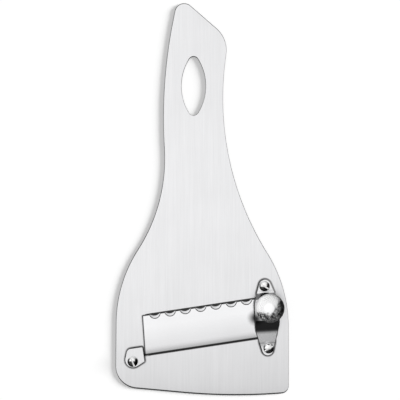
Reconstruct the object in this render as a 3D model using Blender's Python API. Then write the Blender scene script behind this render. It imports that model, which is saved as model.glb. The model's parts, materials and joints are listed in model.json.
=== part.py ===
"""A hand-held truffle slicer, in metres, lying on its back with +Z up.

A flat steel plate narrows upwards (+Y) into a handle with a hanging hole. Near its wide end a scalloped blade
lies over a window in the plate. The blade swings about its rear edge, on a pin held by a small keeper, and a
knurled knob on a threaded spindle in the bridge over its right end lifts the cutting edge.
"""

import math

import bmesh
import bpy
from mathutils import Matrix, Vector

MM = 0.001

# Clearances and finish of the curves
seat_gap = 0.2 * MM
running_gap = 0.3 * MM
thread_gap = 0.2 * MM
collar_gap = 0.15 * MM
cut_overrun = 1.0 * MM
arc_tolerance = 0.03 * MM
coarsest_arc_turn = math.radians(22.5)
repeat_distance = 0.0003 * MM
round_steps = 32
scallop_steps = 16
smooth_angle = math.radians(35)

# Plate and handle
plate_length = 204.2 * MM
plate_width = 90.1 * MM
plate_thickness = 1.5 * MM
plate_edge_break = 0.25 * MM
# Corner of the outline: half widths across, half lengths up, and fillet radius in widths
plate_corner_shares = [
    (-0.278, 1.042, 0.055),
    (0.300, 0.820, 0.165),
    (0.120, 0.175, 1.687),
    (0.997, -0.446, 0.801),
    (1.000, -0.988, 0.047),
    (0.350, -1.010, 3.32),
    (-1.002, -0.956, 0.132),
    (-0.990, -0.428, 0.783),
    (-0.405, -0.020, 0.972),
    (-0.478, 0.605, 2.87),
]
hole_from_end = 43.1 * MM
hole_from_middle = -4.45 * MM
hole_width = 12.6 * MM
hole_side_radius = 26.5 * MM
hole_tip_radius = 2.7 * MM

# Blade, measured along (u) and across (v) its own slanted middle line
blade_from_end = 36.55 * MM
blade_from_middle = 3.75 * MM
blade_skew = math.radians(8.55)
blade_end_margins = 20.8 * MM
blade_length = plate_width - blade_end_margins
blade_width = 20.6 * MM
blade_thickness = 0.8 * MM
blade_end_lean = math.radians(4.55)
blade_roll_radius = 12.0 * MM
blade_edge_bevel = 0.3 * MM
blade_edge_thickness = 0.2 * MM
tongue_length = 8.3 * MM
tongue_setback = 1.9 * MM
tongue_corner_radius = 1.2 * MM
slice_rest = 0.8 * MM
slice_least = 0.05 * MM
slice_most = 2.5 * MM
scallop_pitch = 8.0 * MM
scallop_first = 7.6 * MM
scallop_count = 1 + math.floor((blade_length - tongue_length - scallop_first) / scallop_pitch)
scallop_face_radius = 3.05 * MM
scallop_edge_radius = 3.9 * MM
scallop_face_depth = 2.5 * MM
scallop_edge_depth = 0.95 * MM
scallop_overrun = 0.3 * MM
pivot_pin_radius = 0.5 * MM
pivot_pin_length = 4.5 * MM
pivot_pin_root = 3.0 * MM

# Window under the blade
window_front_gap = 0.3 * MM
window_rear_ledge = 1.7 * MM
window_left_ledge = 1.8 * MM
window_right_ledge = 0.25 * MM
window_corner_radius = 1.5 * MM

# Keeper over the pivot pin, measured from its screw along and across the blade
keeper_gap = 0.35 * MM
keeper_reach = 6.2 * MM
keeper_rise = 6.7 * MM
keeper_behind_pin = 2.45 * MM
keeper_eye_radius = 4.2 * MM
keeper_back_radius = 2.5 * MM
keeper_corner_radius = 0.8 * MM
keeper_thickness = 1.8 * MM
keeper_edge_break = 0.2 * MM
keeper_back_share = 0.32
keeper_foot_share = 0.2
keeper_eye_shares = (-1.76, -1.74)

# Bridge over the blade's right end, measured along its own middle line
bridge_from_blade_end = 4.65 * MM
bridge_lean = math.radians(3.8)
bridge_overhang = 19.35 * MM
bridge_length = blade_width + bridge_overhang
bridge_width = 13.1 * MM
bridge_thickness = 1.0 * MM
bridge_bend_radius = 1.2 * MM
bridge_sweep_radius = 30.0 * MM
bridge_screw_inset = 3.845 * MM
bridge_screw_spacing = bridge_length - 2 * bridge_screw_inset
bridge_ramp_clearance = 1.87 * MM
# Corner of one side: half widths across, lengths along from the middle, and fillet radius in widths
bridge_corner_shares = [
    (0.395, 0.4956, 0.270),
    (1.008, 0.2078, 0.460),
    (0.977, -0.0876, 0.900),
    (0.420, -0.5044, 0.258),
]
# Bends of the side view, counted from the blade's two edges
bridge_front_gap = 2.05 * MM
bridge_riser_run = 2.5 * MM
bridge_rear_gap = 3.3 * MM
bridge_ramp_run = 9.5 * MM
bridge_drop_run = 3.2 * MM
front_foot_bend = blade_width / 2 + bridge_front_gap
front_shoulder_bend = front_foot_bend - bridge_riser_run
ramp_foot_bend = -blade_width / 2 - bridge_rear_gap
ramp_top_bend = ramp_foot_bend + bridge_ramp_run
rear_shoulder_bend = ramp_top_bend + bridge_drop_run

# Slotted round-head screws
screw_radius = 1.5 * MM
screw_head_radius = 2.7 * MM
screw_head_height = 1.9 * MM
screw_head_side = 0.2 * MM
screw_slot_width = 0.8 * MM
screw_slot_depth = 0.95 * MM
screw_end_recess = 0.2 * MM
screw_end_bevel = 0.3 * MM
screw_dome_rows = 6
keeper_slot_turn = math.radians(-69)
upper_slot_turn = math.radians(-33)
lower_slot_turn = math.radians(31)

# Adjusting spindle, its bush in the bridge, washers and clip
spindle_from_edge = 4.7 * MM
spindle_from_middle = blade_width / 2 - spindle_from_edge
spindle_aside = 1.5 * MM
spindle_radius = 2.0 * MM
spindle_end_bevel = 0.3 * MM
neck_radius = 1.2 * MM
neck_end_bevel = 0.15 * MM
neck_clearance = 0.4 * MM
groove_depth = 0.4 * MM
groove_gap = 0.1 * MM
spindle_tail = 0.3 * MM
washer_radius = 2.1 * MM
washer_thickness = 0.3 * MM
clip_radius = 2.0 * MM
clip_thickness = 0.5 * MM
clip_opening = math.radians(76)
bush_radius = 3.5 * MM
bush_flange_height = 1.4 * MM
bush_spigot_radius = 2.8 * MM
bush_proud = 0.25 * MM

# Knob
knob_radius = 7.4 * MM
knob_height = 8.0 * MM
knob_foot_radius = 5.6 * MM
knob_foot_height = 0.9 * MM
knob_belt_height = 2.9 * MM
knob_band_height = 1.2 * MM
knob_bore_depth = 5.2 * MM
knurl_depth = 0.22 * MM
knurl_count = 60
knurl_top_share = 0.5
bowl_rows = 3
dome_rows = 6
crown_rows = 4

# Levels above the plate's back
plate_top = plate_thickness
blade_bottom = plate_top + slice_rest
blade_top = blade_bottom + blade_thickness
hinge_level = plate_top + running_gap + blade_thickness / 2
upper_washer_level = blade_top + running_gap
shoulder_level = upper_washer_level + washer_thickness + collar_gap
lower_washer_level = blade_bottom - running_gap - washer_thickness
clip_level = lower_washer_level - collar_gap - clip_thickness
spindle_end_level = clip_level - spindle_tail

# Places in the blade's frame: u along, v across, from the middle of the blade
hinge_v = -blade_width / 2 + blade_thickness / 2
front_v = blade_width / 2
left_u = -blade_length / 2
right_u = blade_length / 2
keeper_edge_u = left_u - math.tan(blade_end_lean) * blade_width / 2 - keeper_gap
keeper_screw_u = keeper_edge_u - keeper_reach
keeper_screw_v = hinge_v - keeper_behind_pin

# Levers of the lift
blade_frame = (
    Matrix.Translation((blade_from_middle, -plate_length / 2 + blade_from_end, 0))
    @ Matrix.Rotation(blade_skew, 4, "Z")
)
bridge_frame = (
    blade_frame
    @ Matrix.Translation((right_u - bridge_from_blade_end, 0, 0))
    @ Matrix.Rotation(bridge_lean - blade_skew, 4, "Z")
)
spindle_place = bridge_frame @ Vector((spindle_aside, spindle_from_middle, 0))
spindle_in_blade = blade_frame.inverted() @ spindle_place
edge_arm = front_v - hinge_v
spindle_arm = spindle_in_blade.y - hinge_v
lift_up = (slice_most - slice_rest) * spindle_arm / edge_arm
lift_down = (slice_rest - slice_least) * spindle_arm / edge_arm

bush_level = upper_washer_level + washer_thickness + lift_up + running_gap
plateau_bottom = bush_level + bush_flange_height + seat_gap
plateau_top = plateau_bottom + bridge_thickness
bush_top = plateau_top + bush_proud
knob_level = bush_top + lift_down + running_gap
foot_bottom = plate_top + seat_gap
foot_top = foot_bottom + bridge_thickness
ramp_bottom = blade_top + bridge_ramp_clearance
keeper_bottom = plate_top + seat_gap
keeper_top = keeper_bottom + keeper_thickness


def clear_scene():
    for obj in list(bpy.data.objects):
        bpy.data.objects.remove(obj, do_unlink=True)


def unit(vector):
    return vector / vector.length


def arc(centre, radius, start, turn):
    """Points of an arc, its two ends included, no further from the true arc than the tolerance."""
    step = min(2 * coarsest_arc_turn, 2 * math.acos(max(0, 1 - arc_tolerance / radius)))
    count = max(2, math.ceil(abs(turn) / step))
    angles = [start + turn * i / count for i in range(count + 1)]
    return [centre + radius * Vector((math.cos(a), math.sin(a))) for a in angles]


def fitting_radii(corners, closed):
    """The radii of the corners, each limited so that neighbouring fillets share their side."""
    count = len(corners)
    half_tangents = []
    for i, (point, radius) in enumerate(corners):
        if not closed and i in (0, count - 1):
            half_tangents.append(0)
            continue
        before = unit(point - corners[i - 1][0])
        after = unit(corners[(i + 1) % count][0] - point)
        half_tangents.append(math.tan(before.angle(after) / 2))
    reaches = [r * t for (_, r), t in zip(corners, half_tangents)]
    radii = []
    for i, (point, radius) in enumerate(corners):
        limit = 1
        for j in (i - 1, (i + 1) % count):
            side = (corners[j][0] - point).length
            taken = reaches[i] + reaches[j]
            if taken > side and half_tangents[i]:
                limit = min(limit, side / taken)
        radii.append(radius * limit)
    return radii


def filleted(corners, closed=True):
    """A polygon or polyline of (point, radius) corners, each rounded by its radius."""
    radii = fitting_radii(corners, closed)
    count = len(corners)
    points = []
    for i, (point, _) in enumerate(corners):
        if not radii[i] or not closed and i in (0, count - 1):
            points.append(point.copy())
            continue
        before = unit(corners[i - 1][0] - point)
        after = unit(corners[(i + 1) % count][0] - point)
        half_angle = before.angle(after) / 2
        centre = point + unit(before + after) * radii[i] / math.sin(half_angle)
        start = point + before * radii[i] / math.tan(half_angle) - centre
        end = point + after * radii[i] / math.tan(half_angle) - centre
        turn = math.atan2(start.cross(end), start.dot(end))
        points += arc(centre, radii[i], math.atan2(start.y, start.x), turn)
    return points


def lens(width, side_radius, tip_radius):
    """A pointed oval standing upright: two side arcs that run into two small round tips."""
    aside = side_radius - width / 2
    tip_centre = math.sqrt((side_radius - tip_radius) ** 2 - aside**2)
    spread = math.atan2(tip_centre, aside)
    tip_turn = math.pi - 2 * spread
    points = arc(Vector((-aside, 0)), side_radius, -spread, 2 * spread)[:-1]
    points += arc(Vector((0, tip_centre)), tip_radius, spread, tip_turn)[:-1]
    points += arc(Vector((aside, 0)), side_radius, math.pi - spread, 2 * spread)[:-1]
    points += arc(Vector((0, -tip_centre)), tip_radius, math.pi + spread, tip_turn)[:-1]
    return points


def without_repeats(points):
    return [p for i, p in enumerate(points) if (p - points[i - 1]).length > repeat_distance]


def inset(points, distance):
    """The closed outline moved inwards, for one that runs either way round."""
    area = sum(points[i - 1].cross(p) for i, p in enumerate(points))
    side = 1 if area > 0 else -1
    moved = []
    for i, point in enumerate(points):
        along = unit(unit(point - points[i - 1]) + unit(points[(i + 1) % len(points)] - point))
        moved.append(point + side * distance * Vector((-along.y, along.x)))
    return moved


def paint(obj, colour, roughness):
    material = bpy.data.materials.new(obj.name)
    material.use_nodes = True
    shader = material.node_tree.nodes["Principled BSDF"]
    shader.inputs["Base Color"].default_value = (*colour, 1)
    shader.inputs["Metallic"].default_value = 1
    shader.inputs["Roughness"].default_value = roughness
    obj.data.materials.append(material)


def add_object(name, bm, parent=None, smooth=False):
    """A mesh object in its parent's frame, from a bmesh that it frees."""
    bmesh.ops.recalc_face_normals(bm, faces=bm.faces)
    mesh = bpy.data.meshes.new(name)
    bm.to_mesh(mesh)
    bm.free()
    if smooth:
        mesh.shade_smooth()
        mesh.set_sharp_from_angle(angle=smooth_angle)
    obj = bpy.data.objects.new(name, mesh)
    bpy.context.scene.collection.objects.link(obj)
    obj.parent = parent
    return obj


def add_empty(name, frame):
    empty = bpy.data.objects.new(name, None)
    empty.matrix_world = frame
    bpy.context.scene.collection.objects.link(empty)
    return empty


def loft(name, rings, parent=None, smooth=False):
    """A closed solid through rings of equally many points, with a flat face on its first and last ring."""
    bm = bmesh.new()
    rows = [[bm.verts.new(p) for p in ring] for ring in rings]
    count = len(rows[0])
    for low, high in zip(rows, rows[1:]):
        for i in range(count):
            bm.faces.new((low[i - 1], low[i], high[i], high[i - 1]))
    bm.faces.new(rows[0])
    bm.faces.new(rows[-1])
    return add_object(name, bm, parent, smooth)


def prism(name, points, bottom, top, parent=None, edge_break=0, smooth=False):
    """An outline given a height, with its two rims broken where asked."""
    points = without_repeats(points)
    levels = [(bottom, 0), (top, 0)]
    if edge_break:
        levels = [(bottom, edge_break), (bottom + edge_break, 0), (top - edge_break, 0), (top, edge_break)]
    rings = []
    for level, distance in levels:
        outline = inset(points, distance) if distance else points
        rings.append([(p.x, p.y, level) for p in outline])
    return loft(name, rings, parent, smooth)


def turned(name, profile, parent=None, steps=round_steps, smooth=True):
    """A body turned about Z from (radius, height) points that start and end on the axis."""
    bm = bmesh.new()
    rows = []
    for radius, height in profile[1:-1]:
        angles = [2 * math.pi * i / steps for i in range(steps)]
        rows.append([bm.verts.new((radius * math.cos(a), radius * math.sin(a), height)) for a in angles])
    first = bm.verts.new((0, 0, profile[0][1]))
    last = bm.verts.new((0, 0, profile[-1][1]))
    for i in range(steps):
        bm.faces.new((first, rows[0][i], rows[0][i - 1]))
        bm.faces.new((last, rows[-1][i - 1], rows[-1][i]))
        for low, high in zip(rows, rows[1:]):
            bm.faces.new((low[i - 1], low[i], high[i], high[i - 1]))
    return add_object(name, bm, parent, smooth)


def turned_ring(name, profile, parent=None, steps=round_steps):
    """A ring turned about Z from a closed loop of (radius, height) points."""
    bm = bmesh.new()
    rows = []
    for radius, height in profile:
        angles = [2 * math.pi * i / steps for i in range(steps)]
        rows.append([bm.verts.new((radius * math.cos(a), radius * math.sin(a), height)) for a in angles])
    for k, high in enumerate(rows):
        for i in range(steps):
            bm.faces.new((rows[k - 1][i - 1], rows[k - 1][i], high[i], high[i - 1]))
    return add_object(name, bm, parent, smooth=True)


def rod(name, radius, bottom, top, parent=None):
    return turned(name, [(0, bottom), (radius, bottom), (radius, top), (0, top)], parent)


def combine(obj, other, operation):
    """A Boolean of the object with a helper that is kept out of the model."""
    other.hide_render = True
    other.display_type = "WIRE"
    modifier = obj.modifiers.new(other.name, "BOOLEAN")
    modifier.operation = operation
    modifier.solver = "EXACT"
    modifier.object = other


def cut_round(obj, name, radius, bottom, top, place, parent=None):
    """Cuts an upright round hole at a place in the parent's frame."""
    cutter = rod(name, radius, bottom - cut_overrun, top + cut_overrun, parent)
    cutter.location = place
    combine(obj, cutter, "DIFFERENCE")


def in_bridge(along, across=0):
    return Vector((across, along, 0))


def make_plate(blade_axes, bridge_axes):
    corners = [
        (Vector((x * plate_width / 2, y * plate_length / 2)), r * plate_width)
        for x, y, r in plate_corner_shares
    ]
    outline = filleted(corners)
    xs = [p.x for p in outline]
    ys = [p.y for p in outline]
    middle = Vector((min(xs) + max(xs), min(ys) + max(ys))) / 2
    outline = [p - middle for p in outline]
    plate = prism("body_plate", outline, 0, plate_thickness, edge_break=plate_edge_break)
    paint(plate, (0.78, 0.78, 0.79), 0.35)

    eye = lens(hole_width, hole_side_radius, hole_tip_radius)
    eye_cutter = prism("hanging_hole_cutter", eye, -cut_overrun, plate_thickness + cut_overrun)
    eye_cutter.location = (hole_from_middle, plate_length / 2 - hole_from_end, 0)
    combine(plate, eye_cutter, "DIFFERENCE")

    low = Vector((left_u + window_left_ledge, -blade_width / 2 + window_rear_ledge))
    high = Vector((right_u - window_right_ledge, front_v + window_front_gap))
    window = [
        (Vector((low.x, low.y)), window_corner_radius),
        (Vector((high.x, low.y)), window_corner_radius),
        (Vector((high.x, high.y)), window_corner_radius),
        (Vector((low.x, high.y)), window_corner_radius),
    ]
    window_cutter = prism(
        "window_cutter", filleted(window), -cut_overrun, plate_thickness + cut_overrun, blade_axes
    )
    combine(plate, window_cutter, "DIFFERENCE")

    hole_radius = screw_radius + thread_gap
    keeper_place = (keeper_screw_u, keeper_screw_v, 0)
    cut_round(plate, "keeper_screw_hole", hole_radius, 0, plate_thickness, keeper_place, blade_axes)
    for name, side in (("upper_screw_hole", 1), ("lower_screw_hole", -1)):
        place = in_bridge(side * bridge_screw_spacing / 2)
        cut_round(plate, name, hole_radius, 0, plate_thickness, place, bridge_axes)
    return plate


def blade_section():
    """The blade's closed cross-section about its hinge: x across, y up, the rear edge rolled down."""
    half = blade_thickness / 2
    rise = blade_bottom + half - hinge_level
    bend = math.acos(1 - rise / blade_roll_radius)
    run = blade_roll_radius * math.sin(bend)
    roll_centre = Vector((run, rise - blade_roll_radius))
    quarter = math.pi / 2
    front = front_v - hinge_v
    points = arc(roll_centre, blade_roll_radius + half, quarter, bend)
    points += arc(Vector((0, 0)), half, quarter + bend, math.pi)[1:-1]
    points += arc(roll_centre, blade_roll_radius - half, quarter + bend, -bend)
    points.append(Vector((front, rise - half)))
    points.append(Vector((front, rise - half + blade_edge_thickness)))
    points.append(Vector((front - blade_edge_bevel, rise + half)))
    return points


def add_scallop(bm, u, front, levels):
    """One hollow grinding as a cutter: an arc behind the front line on each (level, centre, radius)."""
    rows = []
    for level, centre, radius in levels:
        lean = math.asin((centre - front) / radius)
        turn = math.pi - 2 * lean
        row = []
        for i in range(scallop_steps + 1):
            angle = math.pi + lean + turn * i / scallop_steps
            row.append(bm.verts.new((u + radius * math.cos(angle), centre + radius * math.sin(angle), level)))
        rows.append(row)
    for i in range(scallop_steps + 1):
        bm.faces.new((rows[0][i - 1], rows[0][i], rows[1][i], rows[1][i - 1]))
    bm.faces.new(rows[0])
    bm.faces.new(rows[1])


def end_cutter(name, end_u, outward, low, high, hinge_axes):
    """What lies beyond a leaning end of the blade, the middle of that end being at end_u."""
    rear = -blade_thickness / 2 - cut_overrun
    front = front_v - hinge_v + cut_overrun
    beyond = end_u + outward * (blade_width + cut_overrun) * math.tan(blade_end_lean)
    corners = [
        Vector((beyond + outward * cut_overrun, rear)),
        Vector((end_u + math.tan(blade_end_lean) * (rear + hinge_v), rear)),
        Vector((end_u + math.tan(blade_end_lean) * (front + hinge_v), front)),
        Vector((beyond + outward * cut_overrun, front)),
    ]
    return prism(name, corners, low, high, hinge_axes)


def make_blade(hinge_axes):
    """The blade about its hinge: x along it, y towards the cutting edge."""
    section = without_repeats(blade_section())
    lean = math.tan(blade_end_lean) * blade_width / 2
    ends = (left_u - lean, right_u + lean)
    rings = [[(u, p.x, p.y) for p in section] for u in ends]
    blade = loft("blade", rings, hinge_axes, smooth=True)
    paint(blade, (0.86, 0.86, 0.87), 0.16)

    low = -blade_thickness - cut_overrun
    high = blade_top + cut_overrun
    left_cutter = end_cutter("left_end_cutter", left_u, -1, low, high, hinge_axes)
    combine(blade, left_cutter, "DIFFERENCE")
    right_cutter = end_cutter("right_end_cutter", right_u, 1, low, high, hinge_axes)
    combine(blade, right_cutter, "DIFFERENCE")

    front = front_v - hinge_v + cut_overrun
    setback = front_v - hinge_v - tongue_setback
    beyond = right_u + lean + cut_overrun
    tongue_cut = [
        (Vector((right_u - tongue_length, setback)), tongue_corner_radius),
        (Vector((beyond, setback)), 0),
        (Vector((beyond, front)), 0),
        (Vector((right_u - tongue_length, front)), 0),
    ]
    tongue_cutter = prism("tongue_cutter", filleted(tongue_cut), low, high, hinge_axes)
    combine(blade, tongue_cutter, "DIFFERENCE")

    bm = bmesh.new()
    edge = Vector((
        blade_bottom - hinge_level,
        front_v - hinge_v - scallop_edge_depth + scallop_edge_radius,
        scallop_edge_radius,
    ))
    face = Vector((
        blade_top - hinge_level,
        front_v - hinge_v - scallop_face_depth + scallop_face_radius,
        scallop_face_radius,
    ))
    over = (face - edge) * scallop_overrun / blade_thickness
    for k in range(scallop_count):
        u = left_u + scallop_first + k * scallop_pitch
        add_scallop(bm, u, front, (edge - over, face + over))
    combine(blade, add_object("scallop_cutter", bm, hinge_axes), "DIFFERENCE")

    hole = (spindle_in_blade.x, spindle_arm, 0)
    cut_round(blade, "neck_hole", neck_radius + neck_clearance, low, high, hole, hinge_axes)

    pin = rod("pivot_pin", pivot_pin_radius, 0, pivot_pin_length + pivot_pin_root, hinge_axes)
    pin.location = (keeper_edge_u + keeper_gap + pivot_pin_root, 0, 0)
    pin.rotation_euler = (0, -math.pi / 2, 0)
    combine(blade, pin, "UNION")
    return blade


def make_keeper(blade_axes):
    """The small keeper: a flat piece with a groove under it for the blade's pivot pin."""
    corners = [
        (Vector((keeper_reach, keeper_rise)), keeper_corner_radius),
        (Vector((-keeper_reach * keeper_back_share, keeper_rise)), keeper_back_radius),
        (keeper_eye_radius * Vector(keeper_eye_shares), keeper_eye_radius),
        (Vector((keeper_reach, -keeper_reach * keeper_foot_share)), keeper_corner_radius),
    ]
    keeper = prism(
        "blade_keeper", filleted(corners), keeper_bottom, keeper_top, blade_axes, keeper_edge_break
    )
    keeper.location = (keeper_screw_u, keeper_screw_v, 0)
    paint(keeper, (0.76, 0.76, 0.77), 0.33)

    radius = pivot_pin_radius + running_gap
    groove = arc(Vector((0, hinge_level)), radius, 0, math.pi)
    groove += [Vector((-radius, keeper_bottom - cut_overrun)), Vector((radius, keeper_bottom - cut_overrun))]
    inner = keeper_edge_u + keeper_gap - pivot_pin_length - running_gap
    rings = [[(u, hinge_v + p.x, p.y) for p in without_repeats(groove)]
             for u in (inner, keeper_edge_u + cut_overrun)]
    combine(keeper, loft("pin_groove", rings, blade_axes), "DIFFERENCE")
    hole_radius = screw_radius + seat_gap
    place = (keeper_screw_u, keeper_screw_v, 0)
    cut_round(keeper, "keeper_eye", hole_radius, keeper_bottom, keeper_top, place, blade_axes)
    return keeper


def make_bridge(bridge_axes):
    """The bent strap: its side view run across, cut to its outline."""
    half = bridge_thickness / 2
    beyond = bridge_length / 2 + cut_overrun
    bends = [
        (Vector((beyond, foot_bottom + half)), 0),
        (Vector((front_foot_bend, foot_bottom + half)), bridge_bend_radius),
        (Vector((front_shoulder_bend, plateau_bottom + half)), bridge_bend_radius),
        (Vector((rear_shoulder_bend, plateau_bottom + half)), bridge_bend_radius),
        (Vector((ramp_top_bend, ramp_bottom + half)), bridge_sweep_radius),
        (Vector((ramp_foot_bend, foot_bottom + half)), bridge_bend_radius),
        (Vector((-beyond, foot_bottom + half)), 0),
    ]
    middle = without_repeats(filleted(bends, closed=False))
    upper, lower = [], []
    for i, point in enumerate(middle):
        before = unit(point - middle[i - 1]) if i else unit(middle[1] - point)
        after = unit(middle[i + 1] - point) if i + 1 < len(middle) else before
        along = unit(before + after)
        normal = Vector((along.y, -along.x)) / along.dot(before)
        upper.append(point + half * normal)
        lower.append(point - half * normal)
    section = upper + lower[::-1]
    side = bridge_width / 2 + cut_overrun
    rings = [[(x, p.x, p.y) for p in section] for x in (-side, side)]
    bridge = loft("bridge", rings, bridge_axes)
    paint(bridge, (0.80, 0.80, 0.81), 0.22)

    one_side = [
        (Vector((x * bridge_width / 2, y * bridge_length)), r * bridge_width)
        for x, y, r in bridge_corner_shares
    ]
    other_side = [(Vector((-p.x, p.y)), r) for p, r in one_side[::-1]]
    outline = filleted(one_side + other_side)
    outline_tool = prism("bridge_outline", outline, 0, plateau_top + cut_overrun, bridge_axes)
    combine(bridge, outline_tool, "INTERSECT")

    for name, end in (("upper_ear_hole", 1), ("lower_ear_hole", -1)):
        place = in_bridge(end * bridge_screw_spacing / 2)
        cut_round(bridge, name, screw_radius + seat_gap, foot_bottom, foot_top, place, bridge_axes)
    place = in_bridge(spindle_from_middle, spindle_aside)
    radius = bush_spigot_radius + seat_gap
    cut_round(bridge, "bush_hole", radius, plateau_bottom, plateau_top, place, bridge_axes)
    return bridge


def make_screw(name, under_head, place, slot_turn, parent):
    """A slotted round-head screw: its head just above the given level, its end inside the plate."""
    seat = under_head + seat_gap
    dome = screw_head_height - screw_head_side
    profile = [
        (0, screw_end_recess),
        (screw_radius - screw_end_bevel, screw_end_recess),
        (screw_radius, screw_end_recess + screw_end_bevel),
        (screw_radius, seat),
        (screw_head_radius, seat),
    ]
    for row in range(screw_dome_rows):
        angle = math.pi / 2 * row / screw_dome_rows
        radius = screw_head_radius * math.cos(angle)
        profile.append((radius, seat + screw_head_side + dome * math.sin(angle)))
    profile.append((0, seat + screw_head_height))
    screw = turned(name, profile, parent)
    screw.location = place
    paint(screw, (0.82, 0.82, 0.83), 0.18)
    top = seat + screw_head_height
    long = screw_head_radius + cut_overrun
    half = screw_slot_width / 2
    slot = [Vector((-long, -half)), Vector((long, -half)), Vector((long, half)), Vector((-long, half))]
    cutter = prism(name + "_slot", slot, top - screw_slot_depth, top + cut_overrun, parent)
    cutter.location = place
    world_turn = parent.matrix_world.to_euler().z
    cutter.rotation_euler = (0, 0, slot_turn - world_turn)
    combine(screw, cutter, "DIFFERENCE")
    return screw


def make_spindle(spindle_axes):
    groove = neck_radius - groove_depth
    bevel = spindle_end_bevel
    top = knob_level + knob_bore_depth - running_gap
    profile = [
        (0, spindle_end_level),
        (neck_radius - neck_end_bevel, spindle_end_level),
        (neck_radius, spindle_end_level + neck_end_bevel),
        (neck_radius, clip_level - groove_gap),
        (groove, clip_level - groove_gap),
        (groove, clip_level + clip_thickness + groove_gap),
        (neck_radius, clip_level + clip_thickness + groove_gap),
        (neck_radius, shoulder_level),
        (spindle_radius - bevel, shoulder_level),
        (spindle_radius, shoulder_level + bevel),
        (spindle_radius, top - bevel),
        (spindle_radius - bevel, top),
        (0, top),
    ]
    spindle = turned("adjusting_screw", profile, spindle_axes)
    paint(spindle, (0.75, 0.75, 0.76), 0.28)
    return spindle


def make_bush(spindle_axes):
    """The threaded bush pressed into the bridge: a flange under it and a spigot through it."""
    bore = spindle_radius + thread_gap
    profile = [
        (bore, bush_level),
        (bush_radius, bush_level),
        (bush_radius, bush_level + bush_flange_height),
        (bush_spigot_radius, bush_level + bush_flange_height),
        (bush_spigot_radius, bush_top),
        (bore, bush_top),
    ]
    bush = turned_ring("threaded_bush", profile, spindle_axes)
    paint(bush, (0.70, 0.70, 0.71), 0.3)
    return bush


def make_washer(name, level, spindle_axes):
    bore = neck_radius + thread_gap
    profile = [
        (bore, level),
        (washer_radius, level),
        (washer_radius, level + washer_thickness),
        (bore, level + washer_thickness),
    ]
    washer = turned_ring(name, profile, spindle_axes)
    paint(washer, (0.74, 0.74, 0.75), 0.3)
    return washer


def make_clip(spindle_axes):
    """The open spring clip in the neck's groove."""
    inner = neck_radius - groove_depth + groove_gap
    turn = 2 * math.pi - clip_opening
    outline = arc(Vector((0, 0)), clip_radius, clip_opening / 2, turn)
    outline += arc(Vector((0, 0)), inner, clip_opening / 2 + turn, -turn)
    clip = prism("retaining_clip", outline, clip_level, clip_level + clip_thickness, spindle_axes)
    paint(clip, (0.55, 0.55, 0.57), 0.35)
    return clip


def knob_profile():
    """(radius, height, knurled) up the knob: bore, bowl, upright band, knurled dome and smooth crown."""
    bore = spindle_radius + seat_gap
    profile = [
        (bore, knob_bore_depth, False),
        (bore, 0, False),
        (knob_foot_radius, 0, False),
    ]
    dome_level = knob_belt_height + knob_band_height
    dome_height = knob_height - dome_level
    bowl_height = knob_belt_height - knob_foot_height
    foot_angle = math.acos((knob_foot_radius + knurl_depth) / knob_radius)
    top_angle = math.acos(knurl_top_share)
    for row in range(bowl_rows):
        angle = foot_angle * (1 - row / bowl_rows)
        sunk = bowl_height * math.sin(angle) / math.sin(foot_angle)
        profile.append((knob_radius * math.cos(angle), knob_belt_height - sunk, True))
    profile.append((knob_radius, knob_belt_height, True))
    for row in range(dome_rows + 1):
        angle = top_angle * row / dome_rows
        height = dome_level + dome_height * math.sin(angle)
        profile.append((knob_radius * math.cos(angle), height, True))
    for row in range(1, crown_rows + 1):
        angle = top_angle + (math.pi / 2 - top_angle) * row / (crown_rows + 1)
        radius = (knob_radius - knurl_depth) * math.cos(angle)
        profile.append((radius, dome_level + dome_height * math.sin(angle), False))
    return profile


def make_knob(spindle_axes):
    """The knob: crossed grooves leave rows of small pyramids round it, up to its smooth crown."""
    bm = bmesh.new()
    rows = []
    for j, (radius, height, knurled) in enumerate(knob_profile()):
        row = []
        for i in range(knurl_count):
            angle = 2 * math.pi * i / knurl_count
            r = radius - knurl_depth if knurled and (i + j) % 2 else radius
            row.append(bm.verts.new((r * math.cos(angle), r * math.sin(angle), height)))
        rows.append(row)
    bore_end = bm.verts.new((0, 0, knob_bore_depth))
    crown = bm.verts.new((0, 0, knob_height))
    for i in range(knurl_count):
        bm.faces.new((bore_end, rows[0][i], rows[0][i - 1]))
        bm.faces.new((crown, rows[-1][i - 1], rows[-1][i]))
        for j in range(1, len(rows)):
            a, b, c, d = rows[j - 1][i - 1], rows[j - 1][i], rows[j][i], rows[j][i - 1]
            if (i + j) % 2:
                bm.faces.new((a, b, c))
                bm.faces.new((a, c, d))
            else:
                bm.faces.new((b, c, d))
                bm.faces.new((b, d, a))
    knob = add_object("knob", bm, spindle_axes)
    knob.location = (0, 0, knob_level)
    paint(knob, (0.84, 0.84, 0.85), 0.15)
    return knob


def make_slicer():
    clear_scene()
    blade_axes = add_empty("blade_axes", blade_frame)
    hinge_axes = add_empty("blade_hinge", blade_frame @ Matrix.Translation((0, hinge_v, hinge_level)))
    bridge_axes = add_empty("bridge_axes", bridge_frame)
    spindle_axes = add_empty("spindle_axis", Matrix.Translation(spindle_place))

    make_plate(blade_axes, bridge_axes)
    make_keeper(blade_axes)
    make_screw(
        "keeper_screw", keeper_top, (keeper_screw_u, keeper_screw_v, 0), keeper_slot_turn, blade_axes
    )
    make_bridge(bridge_axes)
    half = bridge_screw_spacing / 2
    make_screw("upper_bridge_screw", foot_top, in_bridge(half), upper_slot_turn, bridge_axes)
    make_screw("lower_bridge_screw", foot_top, in_bridge(-half), lower_slot_turn, bridge_axes)
    make_bush(spindle_axes)

    make_blade(hinge_axes)

    make_washer("upper_washer", upper_washer_level, spindle_axes)
    make_washer("lower_washer", lower_washer_level, spindle_axes)
    make_spindle(spindle_axes)
    make_clip(spindle_axes)
    make_knob(spindle_axes)


make_slicer()
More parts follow.
